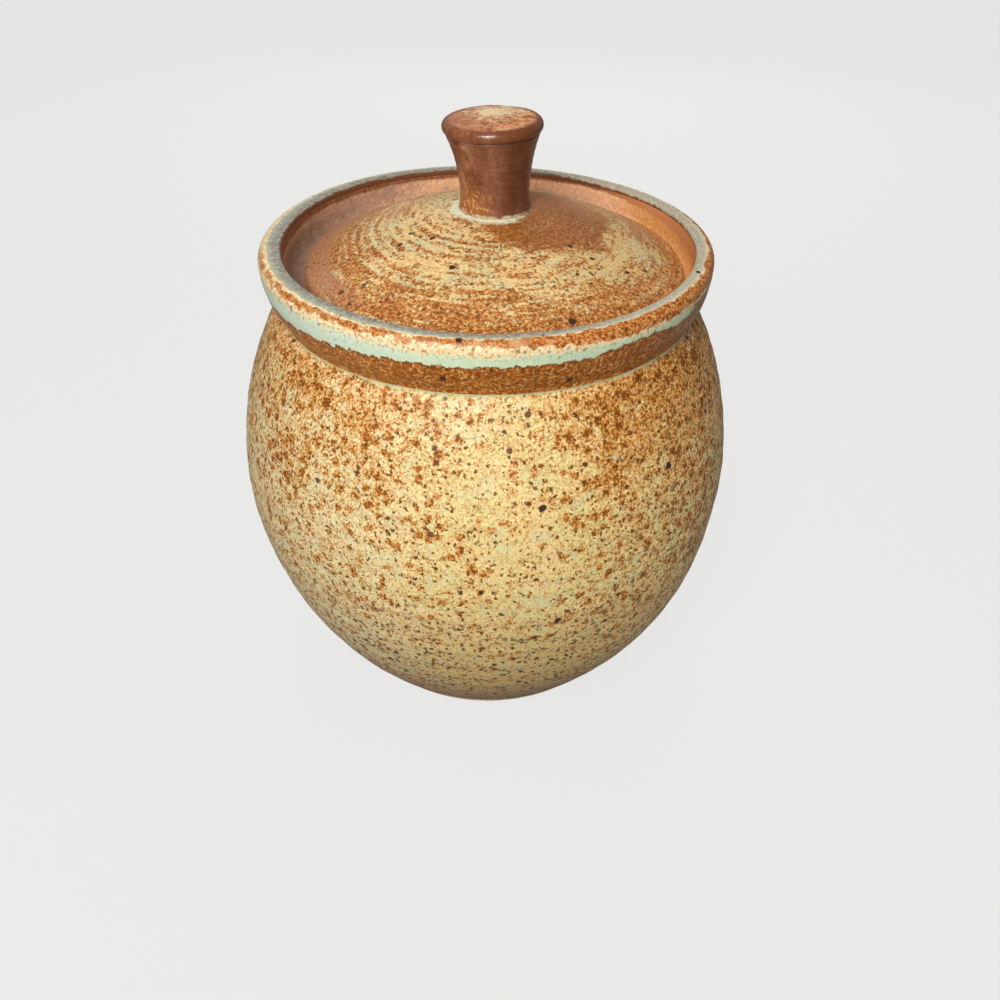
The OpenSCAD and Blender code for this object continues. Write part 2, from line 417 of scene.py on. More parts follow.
def paint(red, green, blue):
    """A colour given as a paint chart gives it, 0 to 255, made linear for the shader."""
    chart = np.array([red, green, blue]) / 255
    linear = np.where(chart <= 0.04045, chart / 12.92, ((chart + 0.055) / 1.055) ** 2.4)
    return (*linear.tolist(), 1.0)


# How far specks are pulled out of round, and the ragged edge of a spot, in metres
JITTER = 1.2 * MM
SPOT_EDGE = 0.4 * MM


class Finish:
    """A procedural finish on one Principled shader, with short words for the nodes that feed it. place is
    the point on the piece in metres, side and depth say how far it lies to the right and behind, -1 to 1,
    and band is its distance along the outline in millimetres."""

    def __init__(self, name, rough=0.4, specular=0.5):
        self.material = bpy.data.materials.new(name)
        self.material.use_nodes = True
        self.tree = self.material.node_tree
        self.shader = self.tree.nodes["Principled BSDF"]
        self.shader.inputs["Roughness"].default_value = rough
        self.shader.inputs["Specular IOR Level"].default_value = specular
        self.place = self.add("ShaderNodeTexCoord").outputs["Object"]
        self.turn = self.add("ShaderNodeAttribute", attribute_name="turn").outputs["Vector"]
        self.across, _, self.height = self.add("ShaderNodeSeparateXYZ", {"Vector": self.place}).outputs
        self.side, self.depth, self.band = self.add("ShaderNodeSeparateXYZ", {"Vector": self.turn}).outputs
        inputs = {"Vector": self.place, "Scale": 1300.0, "Detail": 1.0}
        jitter = self.add("ShaderNodeTexNoise", inputs).outputs["Color"]
        pull = self.vector("MULTIPLY", jitter, (JITTER, JITTER, JITTER))
        self.ragged = self.vector("ADD", self.place, pull)

    def feed(self, socket, value):
        """Link a socket to another, or set it."""
        if isinstance(value, bpy.types.NodeSocket):
            self.tree.links.new(value, socket)
        else:
            socket.default_value = value

    def add(self, kind, inputs=None, **settings):
        """A new node with its settings and inputs."""
        node = self.tree.nodes.new(kind)
        for key, value in settings.items():
            setattr(node, key, value)
        for key, value in (inputs or {}).items():
            self.feed(node.inputs[key], value)
        return node

    def vector(self, operation, a, b):
        """One step of vector arithmetic."""
        return self.add("ShaderNodeVectorMath", {0: a, 1: b}, operation=operation).outputs[0]

    def math(self, operation, a, b=0.0, c=0.0):
        """One step of arithmetic."""
        return self.add("ShaderNodeMath", {0: a, 1: b, 2: c}, operation=operation).outputs[0]

    def away_from(self, x, y, z):
        """Distance in metres from a place given in millimetres."""
        inputs = {0: self.place, 1: (x * MM, y * MM, z * MM)}
        return self.add("ShaderNodeVectorMath", inputs, operation="DISTANCE").outputs["Value"]

    def noise(self, scale, detail=2.0, rough=0.5, where=None, shift=0.0):
        """Cloudy noise, 0 to 1, with the scale in waves per metre; a shift gives another draw of it."""
        spot = self.place if where is None else where
        if shift:
            spot = self.vector("ADD", spot, (shift, 1.7 * shift, 2.3 * shift))
        inputs = {"Vector": spot, "Scale": scale, "Detail": detail, "Roughness": rough}
        return self.add("ShaderNodeTexNoise", inputs).outputs["Fac"]

    def round_noise(self, turns, pitch, detail=2.0, rough=0.5, shift=0.0):
        """Noise drawn out round the axis: turns sets how often it changes on the way round, pitch how often
        per millimetre of the band."""
        spot = self.vector("MULTIPLY", self.turn, (turns, turns, pitch))
        return self.noise(1.0, detail, rough, spot, shift)

    def specks(self, scale, share, size, shift=0.0, soft=0.1, least=0.0):
        """Round specks in a share of the cells of a Voronoi pattern, 1 at each middle; their least and
        greatest size and soft, the half width of the edge, are shares of a cell."""
        spot = self.vector("ADD", self.ragged, (shift, shift, shift))
        cell = self.add("ShaderNodeTexVoronoi", {"Vector": spot, "Scale": scale})
        draw = self.add("ShaderNodeSeparateColor", {"Color": cell.outputs["Color"]}).outputs["Red"]
        bare = self.math("SUBTRACT", 1.0, share)
        radius = self.scaled(draw, bare, 1.0, least, size)
        gap = self.math("SUBTRACT", radius, cell.outputs["Distance"])
        return self.both(self.step(gap, -soft, soft), self.math("GREATER_THAN", draw, bare))

    def threads(self, scale, width, shift):
        """Fine wandering lines, where a noise passes its middle value."""
        centred = self.total(-0.5, (self.noise(scale, 2.0, 0.6, shift=shift), 1.0))
        return self.step(self.math("ABSOLUTE", centred), width, 0.25 * width)

    def step(self, value, low, high):
        """Smooth step from 0 at low to 1 at high."""
        inputs = {"Value": value, "From Min": low, "From Max": high}
        return self.add("ShaderNodeMapRange", inputs, interpolation_type="SMOOTHSTEP").outputs["Result"]

    def within(self, value, low, low_full, high_full, high):
        """Smooth band: 0 up to low, 1 from low_full to high_full, and 0 again from high."""
        return self.both(self.step(value, low, low_full), self.step(value, high, high_full))

    def height_step(self, low, high):
        """Smooth step over the height above the table, in millimetres."""
        return self.step(self.height, low * MM, high * MM)

    def scaled(self, value, low, high, start, end):
        """Straight rescaling of a value, held at its ends."""
        inputs = {"Value": value, "From Min": low, "From Max": high, "To Min": start, "To Max": end}
        return self.add("ShaderNodeMapRange", inputs).outputs["Result"]

    def total(self, base, *parts):
        """A base number plus weighted values, given as (value, weight)."""
        for value, weight in parts:
            base = self.math("MULTIPLY_ADD", value, weight, base)
        return base

    def both(self, a, b):
        """Product of two shares."""
        return self.math("MULTIPLY", a, b)

    def mix(self, share, a, b):
        """Colour a with a share of colour b laid over it."""
        return self.add("ShaderNodeMix", {0: share, 6: a, 7: b}, data_type="RGBA").outputs[2]

    def tint(self, share, strength, a, b):
        """Colour a with colour b laid over it at a strength, where the share is 1."""
        return self.mix(self.scaled(share, 0, 1, 0, strength), a, b)

    def shades(self, value, *stops):
        """A colour ramp through (position, colour) stops."""
        node = self.add("ShaderNodeValToRGB", {"Fac": value})
        ramp = node.color_ramp
        while len(ramp.elements) < len(stops):
            ramp.elements.new(1.0)
        for element, (position, colour) in zip(ramp.elements, stops):
            element.position = position
            element.color = colour
        return node.outputs["Color"]

    def spots(self, colour, spot_colour, places):
        """Round iron spots at (x, y, z, radius) places in millimetres, with ragged edges, over a colour."""
        ragged = self.math("MULTIPLY", self.total(-0.5, (self.noise(1400), 1.0)), 2 * SPOT_EDGE)
        cover = 0.0
        for x, y, z, radius in places:
            reach = self.math("ADD", self.away_from(x, y, z), ragged)
            spot = self.step(reach, 1.15 * radius * MM, 0.75 * radius * MM)
            cover = self.math("MAXIMUM", spot, cover)
        return self.mix(cover, colour, spot_colour)

    def done(self, colour, bump, bump_height, rough=None):
        """Join the colour, the relief and, where it changes over the piece, the roughness to the shader."""
        self.feed(self.shader.inputs["Base Color"], colour)
        if rough is not None:
            self.feed(self.shader.inputs["Roughness"], rough)
        inputs = {"Height": bump, "Strength": 1.0, "Distance": bump_height}
        self.feed(self.shader.inputs["Normal"], self.add("ShaderNodeBump", inputs).outputs["Normal"])
        return self.material


CREAM = paint(248, 220, 156)
TAN = paint(214, 152, 68)
RUST = paint(176, 104, 28)
DARK = paint(106, 60, 8)
IRON = paint(66, 40, 28)
TURQUOISE = paint(200, 220, 186)
BUFF = paint(205, 180, 144)

# Borders of the collar's bands, in millimetres along the outline from the crease
PALE_FROM = 6.7
CREAM_FROM = 11.0
STRIPE_FROM = 12.5
STRIPE_TO = 13.8
RIM_FROM = 14.4
RIM_TO = 16.6

# Single spots in millimetres. On the body: way round in degrees, height and radius, faint ones and dark ones
FAINT_SPOTS = [(-84.9, 90.2, 0.75), (-80.5, 96.6, 0.8), (-101, 72.8, 0.9), (-128, 77.5, 0.8),
               (20, 48, 0.8), (64, 90, 0.8), (110, 70, 0.9), (150, 88, 0.8)]
BODY_SPOTS = [(-78.4, 78.5, 0.95), (-47, 79.3, 0.95), (-74.5, 48.7, 0.85), (-90.8, 59, 0.7),
              (30, 66, 0.9), (80, 82, 0.8), (130, 60, 0.9), (175, 74, 0.8)]
# On the collar: x, y, z and radius
COLLAR_SPOTS = [(-8.3, -49.3, 104.4, 0.75), (16.4, -46.5, 102.7, 0.75), (-5.1, -49.5, 112.8, 0.7),
                (44.8, -18.7, 113.0, 0.6), (-40.0, 30.0, 112.6, 0.6), (12.0, 48.5, 106.0, 0.7)]
# On the lid: way round in degrees, distance from its axis, height and radius
LID_SPOTS = [(-111, 24.9, 115.9, 0.75), (-154.4, 20.4, 117.3, 0.6), (-136.4, 18.6, 117.9, 0.6),
             (-148.9, 23.8, 116.2, 0.6), (-42.1, 21.5, 117, 0.6), (-39, 26.5, 115.3, 0.6),
             (-32, 33.2, 112.6, 0.65), (-42.1, 29.4, 114.2, 0.45), (-53.7, 28.6, 114.5, 0.45),
             (-66.6, 38.7, 109.9, 0.85), (60, 30, 114, 0.6), (140, 26, 115.4, 0.6)]
# Middle of the pale patch on top of the knob
PALE_PATCH = (1.6, 3.4, CROWN_Z + KNOB_H)


def on_body(angle, height, radius):
    """A spot on the body's curve, from its way round in degrees, its height and its own radius."""
    centre, curve = (LOWER_C, LOWER_CURVE) if height < BELLY_Z else (SHOULDER_C, SHOULDER_CURVE)
    reach = level_on(centre, curve, height)[0]
    return (reach * math.cos(math.radians(angle)), reach * math.sin(math.radians(angle)), height, radius)


def on_lid(angle, reach, height, radius):
    """A spot on the lid, from its way round in degrees, its distance from the axis, its height and its
    own radius."""
    way = math.radians(angle)
    return (LID_SHIFT + reach * math.cos(way), reach * math.sin(way), height, radius)


def speckled(f, base, iron, dots):
    """Iron breaking through a pale glaze: a fine tan net, small clusters of rust grains in a peach haze, and
    three sizes of dark specks. iron is the share of rust at each place and dots that of the specks."""
    grain = f.noise(1700.0, 2.0, 0.7, shift=0.7)
    halo = f.specks(470.0, 0.85, 0.55, 0.1, 0.3)
    cluster = f.total(-0.13, (halo, 0.45), (f.noise(300.0, shift=0.6), 0.3), (iron, 0.55))
    heap = f.total(-0.135, (grain, 0.92), (cluster, 0.42))
    colour = f.tint(f.step(cluster, 0.38, 0.62), 0.65, base, paint(226, 166, 112))
    net = f.both(f.threads(800.0, 0.05, 0.5), f.scaled(iron, 0, 0.8, 0.3, 0.8))
    colour = f.mix(net, colour, paint(190, 124, 66))
    tan = f.both(f.step(heap, 0.47, 0.58), f.scaled(iron, 0.2, 0.9, 0.6, 0.9))
    colour = f.mix(tan, colour, TAN)
    colour = f.mix(f.step(heap, 0.565, 0.63), colour, RUST)
    colour = f.mix(f.step(heap, 0.67, 0.74), colour, DARK)
    thick = f.total(-0.3, (dots, 1.0), (cluster, 0.85))
    fine = f.specks(1150.0, f.scaled(thick, 0, 1, 0.15, 0.65), 0.38, 0.2, 0.1, 0.14)
    colour = f.mix(fine, colour, paint(144, 86, 16))
    small = f.specks(720.0, f.scaled(thick, 0, 1, 0.15, 0.95), 0.34, 0.4, 0.1, 0.14)
    colour = f.mix(small, colour, paint(118, 70, 14))
    large = f.specks(430.0, f.scaled(thick, 0, 1, 0.1, 0.5), 0.26, 0.9, 0.08, 0.1)
    return f.mix(large, colour, paint(100, 60, 20)), heap


def body_glaze():
    """Cream to pale green stoneware glaze, thick with iron at the shoulder and on the flanks, thinner and
    browner towards the foot, where the specks are dark, and darker still near the table as painted shade.
    A pale line runs along the crease. The base is painted paler at the right as painted light."""
    f = Finish("speckled_body_glaze", specular=0.34)
    clean = f.step(f.noise(230.0, 3.0, 0.6, shift=0.3), 0.54, 0.62)
    slow = f.noise(34.0, shift=1.1)
    clump = f.noise(130.0, shift=0.55)
    rings = f.total(-0.5, (f.round_noise(1.6, 0.5, 2.0, 0.6, 0.9), 1.0))
    shoulder = f.height_step(66, 100)
    foot = f.height_step(60, 20)
    low = f.height_step(56, 20)
    flank = f.step(f.math("ABSOLUTE", f.side), 0.1, 0.55)
    right = f.step(f.side, 0.2, 0.85)
    left = f.step(f.side, 0.0, -0.6)
    base = f.mix(f.step(f.noise(120.0, 3.0, 0.6, shift=1.3), 0.4, 0.62), paint(236, 222, 154), CREAM)
    base = f.mix(f.scaled(f.noise(2400.0, shift=0.2), 0.4, 0.6, 0, 0.4), base, paint(214, 180, 116))
    base = f.tint(clean, 0.65, base, paint(214, 212, 158))
    base = f.tint(f.height_step(60, 25), 0.75, base, paint(204, 176, 112))
    # Painted light: the base made paler on the right side.
    base = f.tint(right, 0.4, base, paint(255, 232, 156))
    base = f.tint(left, 0.45, base, paint(234, 226, 184))
    # Browner glaze near the foot, deepened by painted shade towards the table.
    base = f.tint(f.height_step(30, 4), 0.75, base, paint(146, 100, 60))
    dots = f.total(0.3, (slow, 0.4), (clump, 0.12), (shoulder, 0.2), (flank, 0.32), (right, 0.24),
                   (foot, 0.5), (clean, -0.16), (rings, 0.45))
    iron = f.total(0.2, (slow, 0.3), (clump, 0.12), (shoulder, 0.16), (low, -0.28), (flank, 0.14),
                   (right, 0.16), (f.both(shoulder, flank), 0.2), (clean, -0.16), (rings, 0.4))
    colour, heap = speckled(f, base, iron, dots)
    deep = f.math("MAXIMUM", f.height_step(66, 34), f.scaled(right, 0, 1, 0, 0.8))
    deep = f.both(f.specks(560.0, 1.0, 0.4, 0.5, 0.08, 0.1), deep)
    colour = f.tint(deep, 0.92, colour, paint(80, 44, 8))
    colour = f.mix(f.height_step(2.6, 1.9), colour, paint(88, 58, 34))
    colour = f.spots(colour, paint(112, 74, 50), [on_body(*spot) for spot in FAINT_SPOTS])
    colour = f.spots(colour, IRON, [on_body(*spot) for spot in BODY_SPOTS])
    pale_line = f.step(f.total(f.band, (f.noise(420.0, 4.0, 0.75), 5.0)), 1.8, 2.7)
    colour = f.tint(pale_line, 0.85, colour, paint(206, 206, 160))
    relief = f.total(0.0, (f.noise(1500.0, shift=0.8), 0.35), (heap, 0.5))
    return f.done(colour, relief, 0.18 * MM, f.scaled(heap, 0.4, 0.7, 0.38, 0.5))


def collar_glaze():
    """Bands round the collar: brown below, pale turquoise on the bulge, a rust stripe, a cream edge and a
    grey rim. The widths change from the left side to the right, and every border is ragged."""
    f = Finish("banded_collar_glaze", rough=0.3, specular=0.25)
    fringe = f.total(-1.0, (f.round_noise(18.0, 0.15, 3.0, 0.65), 1.1), (f.noise(560.0, 3.0, 0.7), 0.9))
    level = f.total(f.band, (fringe, 2.4))
    speck = f.noise(1500.0, 3.0, 0.7, shift=0.3)
    fleck = f.both(f.threads(800.0, 0.06, 0.3), f.step(f.noise(1000.0, shift=0.7), 0.48, 0.56))

    brown = f.shades(f.noise(1500.0, 3.0, 0.7, shift=1.4), (0.36, paint(104, 50, 8)),
                     (0.5, paint(158, 86, 22)), (0.64, paint(198, 118, 42)))
    brown = f.tint(f.step(f.side, 0.2, -0.7), 0.25, brown, paint(186, 112, 46))
    brown = f.tint(fleck, 0.85, brown, paint(232, 178, 108))
    lower = f.total(PALE_FROM, (f.step(f.side, -0.9, -0.2), 1.5), (f.step(f.side, 0.35, 0.6), 1.5),
                    (f.step(f.side, 0.68, 0.78), -1.2))
    above = f.math("SUBTRACT", level, lower)
    colour = f.tint(f.within(above, -0.9, -0.2, -0.1, 0.2), 0.45, brown, paint(70, 40, 20))

    pale = f.mix(f.step(f.side, -0.8, 0.0), paint(214, 232, 212), TURQUOISE)
    pale = f.mix(f.scaled(f.noise(300.0), 0.4, 0.65, 0, 0.6), pale, paint(220, 226, 188))
    gone = f.step(f.total(f.side, (fringe, 0.2)), 0.86, 0.8)
    colour = f.mix(f.both(f.step(above, -0.15, 0.15), gone), colour, pale)

    cream = f.mix(f.scaled(speck, 0.42, 0.58, 0, 0.6), paint(244, 228, 182), paint(226, 178, 116))
    cream_from = f.total(CREAM_FROM, (f.step(f.side, -0.6, -0.1), -0.6))
    colour = f.mix(f.step(f.math("SUBTRACT", level, cream_from), -0.3, 0.5), colour, cream)

    rust = f.shades(speck, (0.38, paint(124, 64, 20)), (0.49, paint(178, 100, 36)),
                    (0.55, paint(206, 132, 62)), (0.6, paint(240, 206, 148)))
    stripe_from = f.total(STRIPE_FROM, (f.step(f.side, 0.0, 0.6), -1.3))
    stripe_to = f.total(STRIPE_TO, (f.step(f.side, -0.7, -0.1), 0.5))
    stripe = f.both(f.step(f.math("SUBTRACT", level, stripe_from), -0.25, 0.25),
                    f.step(f.math("SUBTRACT", level, stripe_to), 0.25, -0.25))
    broken = f.total(0.0, (f.round_noise(9.0, 0.2, 3.0, 0.7, 0.6), 0.7), (speck, 0.5))
    broken = f.math("MAXIMUM", f.step(broken, 0.46, 0.56), f.step(f.side, -0.2, 0.3))
    kept = f.math("MAXIMUM", f.step(f.depth, 0.0, -0.35), f.step(f.side, -0.3, 0.2))
    colour = f.mix(f.both(stripe, f.both(broken, kept)), colour, rust)
    grit = f.both(f.step(speck, 0.56, 0.62), f.step(f.band, 8.5, 11.0))
    colour = f.tint(grit, 0.8, colour, paint(186, 108, 48))

    rim = f.total(f.band, (fringe, 1.3))
    grey = f.shades(f.noise(1000.0, 4.0, 0.75, shift=0.9), (0.36, paint(122, 120, 108)),
                    (0.5, paint(152, 149, 134)), (0.64, paint(194, 194, 176)))
    grey = f.tint(f.step(f.side, 0.1, 0.8), 0.55, grey, paint(214, 200, 168))
    grey = f.mix(f.scaled(f.noise(2000.0, 3.0, 0.7), 0.45, 0.62, 0, 0.55), grey, paint(128, 112, 88))
    grey = f.tint(f.step(rim, RIM_FROM + 1.5, RIM_FROM + 0.4), 0.5, grey, paint(198, 202, 178))
    colour = f.mix(f.step(rim, RIM_FROM, RIM_FROM + 0.4), colour, grey)
    inner = f.total(f.band, (fringe, 1.2), (f.step(f.side, 0.3, 0.8), -0.8))
    colour = f.mix(f.step(inner, RIM_TO, RIM_TO + 0.6), colour, paint(112, 68, 42))

    pale_line = f.step(f.total(f.band, (f.noise(500.0, 3.0, 0.7), 2.0)), 1.3, 0.8)
    colour = f.tint(pale_line, 0.8, colour, paint(196, 192, 150))
    colour = f.tint(f.specks(620.0, 0.3, 0.32, 0.2), 0.7, colour, paint(92, 54, 24))
    colour = f.spots(colour, IRON, COLLAR_SPOTS)
    relief = f.total(0.0, (f.noise(1300.0, shift=0.8), 0.5), (speck, 0.3))
    return f.done(colour, relief, 0.2 * MM)


def gallery_clay():
    """Inside the rim: brown glaze on the wall, then a seat of bare orange clay at the right and flushed pink
    behind. At the left the seat is darker and greyer with painted shade and a painted purple-grey
    reflection, and painted shadow is darkest in the corner."""
    f = Finish("gallery_clay", rough=0.5)
    fringe = f.total(-0.5, (f.round_noise(9.0, 0.2, 3.0, 0.6), 1.0))
    grain = f.noise(1400.0, 3.0, 0.7)
    wall = f.shades(grain, (0.36, paint(110, 64, 34)), (0.62, paint(168, 106, 60)))
    wall = f.tint(f.step(f.side, 0.5, 0.9), 0.8, wall, paint(222, 150, 96))
    clay = f.shades(grain, (0.34, paint(206, 134, 72)), (0.64, paint(246, 182, 108)))
    pink = f.shades(grain, (0.34, paint(222, 162, 118)), (0.64, paint(252, 208, 166)))
    # Painted shade and a painted purple-grey reflection: the seat's colour at the left, darker and greyer.
    shaded_grey_seat = f.shades(grain, (0.34, paint(176, 132, 102)), (0.64, paint(216, 174, 144)))
    side = f.total(f.side, (fringe, 0.4))
    seat = f.mix(f.step(side, -0.7, -0.25), shaded_grey_seat, pink)
    seat = f.mix(f.step(side, 0.6, 0.9), seat, clay)
    border = f.total(f.height, (fringe, 1.4 * MM), (f.step(f.side, 0.6, 0.95), 1.2 * MM),
                     (f.step(f.depth, 0.0, 0.6), -1.1 * MM))
    colour = f.mix(f.step(border, 109.4 * MM, 110.1 * MM), seat, wall)
    stain = f.both(f.step(f.noise(300.0, 4.0, 0.7, shift=0.5), 0.48, 0.62), f.step(f.side, 0.5, -0.2))
    colour = f.tint(stain, 0.4, colour, paint(150, 122, 108))
    # Painted shadow: the wall-seat corner at the front left darkened, where the rim and the lid's edge shade
    # it.
    corner = f.within(f.band, 20.0, 25.0, 27.5, 32.0)
    corner = f.both(corner, f.step(f.total(f.side, (f.depth, 0.5)), -0.2, -0.8))
    colour = f.tint(corner, 0.4, colour, paint(74, 48, 36))
    return f.done(colour, grain, 0.1 * MM)


def inside_glaze():
    """Tan glaze inside the jar, lightly speckled."""
    f = Finish("inside_glaze", rough=0.38)
    base = f.shades(f.noise(90.0, 3.0, 0.6), (0.36, paint(168, 132, 88)), (0.62, paint(206, 176, 124)))
    colour, heap = speckled(f, base, f.scaled(f.noise(60.0), 0.3, 0.7, 0.1, 0.45), 0.3)
    return f.done(colour, heap, 0.1 * MM)


def bare_clay():
    """Unglazed buff foot with fine grit."""
    f = Finish("bare_foot_clay", rough=0.8, specular=0.3)
    grit = f.noise(1600.0, 4.0, 0.7)
    colour = f.shades(grit, (0.32, paint(160, 134, 104)), (0.5, BUFF), (0.68, paint(224, 210, 184)))
    colour = f.mix(f.specks(800.0, 0.12, 0.3), colour, paint(110, 80, 56))
    return f.done(colour, grit, 0.2 * MM)


def lid_glaze():
    """Rust-brown glaze over the dome with cream breaking in rings, greener where it is thick. A bare brown
    patch spreads from the knob to the right, a pale frothy pool lies round the knob's foot, and the edge
    is shiny."""
    f = Finish("ringed_lid_glaze")
    grain = f.noise(1500.0, 3.0, 0.65)
    rust = f.shades(grain, (0.36, paint(118, 62, 10)), (0.5, paint(176, 106, 44)),
                    (0.64, paint(226, 164, 94)))
    pale = f.shades(f.noise(120.0, 3.0, 0.6, shift=0.4), (0.4, paint(212, 214, 164)),
                    (0.52, paint(236, 214, 152)), (0.62, paint(246, 210, 144)))
    pale = f.tint(f.step(f.side, 0.2, 0.8), 0.4, pale, paint(200, 178, 108))
    flaw = f.scaled(f.noise(1800.0, 2.0, 0.7, shift=1.6), 0.46, 0.6, 0, 0.6)
    pale = f.mix(flaw, pale, paint(200, 144, 86))

    streak = f.round_noise(3.2, 0.6, 4.0, 0.7)
    spiral = f.total(f.math("ARCTAN2", f.depth, f.side), (f.band, TURN / DOME_PITCH), (streak, 5.0))
    ridge = f.math("SINE", spiral)
    swirl = f.both(f.both(f.step(f.side, 0.3, -0.4), f.step(f.depth, 0.5, 0.0)),
                   f.within(f.band, 12.0, 16.0, 33.0, 38.0))
    wobble = f.noise(220.0, 3.0, 0.6, shift=2.1)
    border = f.scaled(f.side, -0.35, 0.95, 9.0, 26.0)
    bare = f.step(f.total(f.band, (border, -1.0), (wobble, 13.0)), 9.5, 3.5)
    inside = f.step(f.total(f.band, (wobble, 12.0), (f.step(f.side, 0.2, 0.8), -3.0)), 47.0, 33.0)
    ring = f.both(inside, f.math("SUBTRACT", 1.0, bare))
    behind = f.both(f.step(f.depth, -0.2, 0.5), f.step(f.band, 14.0, 24.0))
    show = f.total(-0.69, (streak, 0.9), (f.noise(48.0, shift=0.2), 0.3),
                   (f.noise(1250.0, 3.0, 0.7, shift=0.9), 1.0), (ring, 0.17))
    show = f.total(show, (bare, -0.06), (behind, -0.05), (f.both(ridge, swirl), 0.07))
    colour = f.tint(f.step(show, 0.46, 0.61), 0.94, rust, pale)
    colour = f.tint(bare, 0.6, colour, paint(140, 78, 26))
    colour = f.tint(behind, 0.3, colour, paint(208, 160, 120))
    smooth = f.both(f.step(f.band, 37.5, 41.0), f.step(f.total(f.side, (f.depth, -0.6)), -0.1, -0.7))
    colour = f.tint(smooth, 0.6, colour, paint(182, 132, 100))
    colour = f.tint(f.specks(760.0, 0.45, 0.34, 0.3), 0.85, colour, paint(106, 54, 14))
    colour = f.mix(f.specks(400.0, 0.18, 0.25, 0.6), colour, paint(84, 52, 28))

    front = f.step(f.total(f.side, (f.depth, 1.0)), 0.9, -0.9)
    foam = f.total(-0.3, (f.round_noise(4.0, 0.3, 3.0, 0.7), 3.0), (f.noise(650.0, 4.0, 0.75), 4.0),
                   (front, -2.6))
    froth = f.shades(f.noise(900.0, 3.0, 0.7, shift=0.6), (0.4, paint(196, 214, 182)),
                     (0.5, paint(232, 230, 192)), (0.6, paint(250, 236, 202)))
    colour = f.tint(f.step(f.total(f.band, (foam, 1.0)), 11.4, 9.6), 0.9, colour, froth)
    colour = f.spots(colour, IRON, [on_lid(*spot) for spot in LID_SPOTS])
    relief = f.total(0.0, (grain, 0.4), (show, 0.4))
    return f.done(colour, relief, 0.2 * MM, f.scaled(f.step(f.band, 38.0, 42.0), 0, 1, 0.47, 0.25))


def lid_underside():
    """Thin brown wash under the lid with a bare ring where it bears."""
    f = Finish("lid_underside_clay", rough=0.55)
    grain = f.noise(1300.0, 3.0, 0.7)
    wash = f.shades(grain, (0.34, paint(128, 82, 50)), (0.64, paint(182, 132, 86)))
    bare = f.shades(grain, (0.34, paint(198, 134, 84)), (0.64, paint(230, 176, 122)))
    return f.done(f.mix(f.height_step(SEAT_Z + 0.6, SEAT_Z + 0.2), wash, bare), grain, 0.12 * MM)


def knob_glaze():
    """Dark satin brown on the knob, drawn out in turning lines, with gold flecks low on the stem, a shiny
    lip and a lighter mottled top with a pale patch. Painted light: a purple-grey painted sheen down the
    middle of the stem, painted shade on the right side and painted shade in the groove under the lip."""
    f = Finish("knob_glaze")
    upright = f.noise(1.0, 4.0, 0.7, f.vector("MULTIPLY", f.place, (330.0, 330.0, 150.0)), 0.2)
    cloud = f.total(0.0, (upright, 0.75), (f.round_noise(2.0, 0.9, 4.0, 0.7), 0.25))
    fleck = f.noise(1700.0, 3.0, 0.75, shift=0.4)
    colour = f.shades(cloud, (0.36, paint(102, 54, 30)), (0.5, paint(148, 90, 60)),
                      (0.64, paint(190, 130, 98)))
    # Painted sheen: a purple-grey band down the middle of the stem, front and back.
    colour = f.tint(f.within(f.side, -0.7, -0.2, 0.3, 0.8), 0.35, colour, paint(134, 84, 74))
    # Painted shade: the knob darkened towards its right side.
    colour = f.tint(f.step(f.side, -0.3, 0.65), 0.75, colour, paint(92, 48, 28))
    colour = f.mix(f.scaled(fleck, 0.4, 0.6, 0, 0.4), colour, paint(84, 42, 12))

    low = f.both(f.step(f.band, 8.0, 1.0), f.step(f.side, 0.3, -0.6))
    colour = f.tint(low, 0.65, colour, paint(164, 98, 42))
    glint = f.step(f.noise(1100.0, 3.0, 0.75, shift=1.2), 0.52, 0.6)
    colour = f.mix(f.both(glint, f.scaled(low, 0, 1, 0, 0.9)), colour, paint(232, 174, 104))
    # Painted shade: a dark line in the groove under the lip.
    colour = f.tint(f.within(f.band, 16.0, 16.7, 17.0, 17.4), 0.2, colour, paint(72, 40, 22))
    lip = f.step(f.band, 16.9, 17.6)
    colour = f.mix(f.both(lip, f.scaled(fleck, 0.35, 0.65, 0.3, 0.75)), colour, paint(122, 64, 30))

    top = f.step(f.total(f.band, (fleck, 1.6)), 20.8, 22.0)
    cap = f.shades(f.noise(620.0, 4.0, 0.75, shift=0.2), (0.38, paint(140, 76, 36)),
                   (0.5, paint(198, 126, 76)), (0.62, paint(230, 170, 118)))
    cap = f.tint(f.step(f.across, 4 * MM, -6 * MM), 0.6, cap, paint(172, 112, 84))
    colour = f.tint(top, 0.92, colour, cap)
    worn = f.total(f.away_from(*PALE_PATCH), (f.noise(480.0, 5.0, 0.85, shift=0.6), 30 * MM))
    pale = f.both(top, f.step(worn, 21.2 * MM, 17.8 * MM))
    colour = f.tint(pale, 0.85, colour, paint(238, 214, 168))
    ring = f.step(f.total(f.band, (f.round_noise(4.0, 0.4), 1.6)), 1.5, 0.7)
    colour = f.tint(ring, 0.8, colour, paint(232, 216, 176))
    shine = f.scaled(f.both(lip, f.step(f.band, 20.9, 20.5)), 0, 1, 0.3, 0.18)
    shine = f.math("ADD", shine, f.scaled(top, 0, 1, 0, 0.25))
    return f.done(colour, f.total(0.0, (fleck, 0.3), (cloud, 0.4)), 0.16 * MM, shine)


outline, zones, band = vessel_outline()
vessel_finishes = [bare_clay(), body_glaze(), collar_glaze(), gallery_clay(), inside_glaze()]
jar_body = turned("jar_body", outline, zones, band, JAR_SEGMENTS, vessel_relief, vessel_finishes)
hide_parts("vessel")
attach(jar_body, "vessel")

outline, zones, band = lid_outline()
jar_lid = turned("jar_lid", outline, zones, band, JAR_SEGMENTS, lid_relief, [lid_glaze(), lid_underside()])
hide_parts("lid")
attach(jar_lid, "lid")

